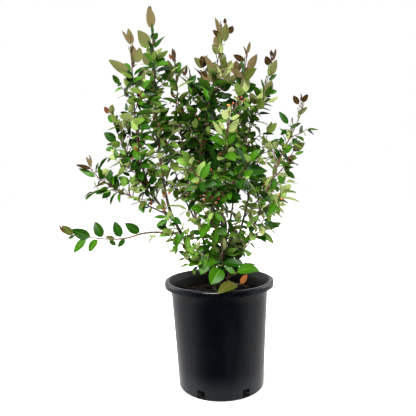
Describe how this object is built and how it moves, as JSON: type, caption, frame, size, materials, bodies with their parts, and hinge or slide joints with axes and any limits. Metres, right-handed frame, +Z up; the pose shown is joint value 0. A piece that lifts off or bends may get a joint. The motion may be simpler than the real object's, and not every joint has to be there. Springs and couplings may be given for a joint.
{
  "type": "potted cotoneaster",
  "caption": "Many-stemmed evergreen shrub with small pointed oval leaves and scattered red berries, growing in a round black plastic nursery pot of potting mix.",
  "frame": {"origin": "middle of the pot's underside, on the surface that it stands on", "axes": "+Z up along the pot's axis; -Y is the front, with the long low bough reaching to -X"},
  "size_m": [0.4392, 0.3501, 0.6803],
  "materials": {
    "pot": "satin moulded black",
    "potting_mix": "loose composted bark",
    "bark": "thin grey-brown bark",
    "foliage": "satin green leaf"
  },
  "bodies": {
    "root": {"pot": "pot", "potting_mix": "potting_mix", "left_stem": "bark", "left_back_stem": "bark", "centre_stem": "bark", "right_stem": "bark", "right_back_stem": "bark", "back_stem": "bark", "front_stem": "bark", "left_tall_bough": "bark", "left_upright_bough": "bark", "left_side_bough": "bark", "left_low_bough": "bark", "back_left_bough": "bark", "centre_back_bough": "bark", "centre_front_bough": "bark", "centre_right_bough": "bark", "right_bough": "bark", "left_tall_foliage": "foliage", "left_upright_foliage": "foliage", "left_shoulder_foliage": "foliage", "left_side_foliage": "foliage", "left_low_foliage": "foliage", "left_elbow_foliage": "foliage", "back_left_tall_foliage": "foliage", "back_left_inner_foliage": "foliage", "back_left_outer_foliage": "foliage", "back_left_low_foliage": "foliage", "centre_tall_foliage": "foliage", "centre_inner_foliage": "foliage", "centre_front_foliage": "foliage", "front_tall_foliage": "foliage", "centre_right_foliage": "foliage", "right_outer_foliage": "foliage", "right_mid_foliage": "foliage", "right_low_foliage": "foliage", "right_lower_foliage": "foliage", "right_back_foliage": "foliage", "right_back_tall_foliage": "foliage", "right_back_side_foliage": "foliage", "back_tall_foliage": "foliage", "back_mid_foliage": "foliage", "back_right_foliage": "foliage", "front_left_foliage": "foliage", "front_right_foliage": "foliage", "front_low_foliage": "foliage", "base_left_foliage": "foliage", "base_front_foliage": "foliage", "base_right_foliage": "foliage", "centre_low_foliage": "foliage", "centre_mid_foliage": "foliage", "left_inner_foliage": "foliage", "right_inner_foliage": "foliage", "back_low_foliage": "foliage"}
  },
  "joints": []
}
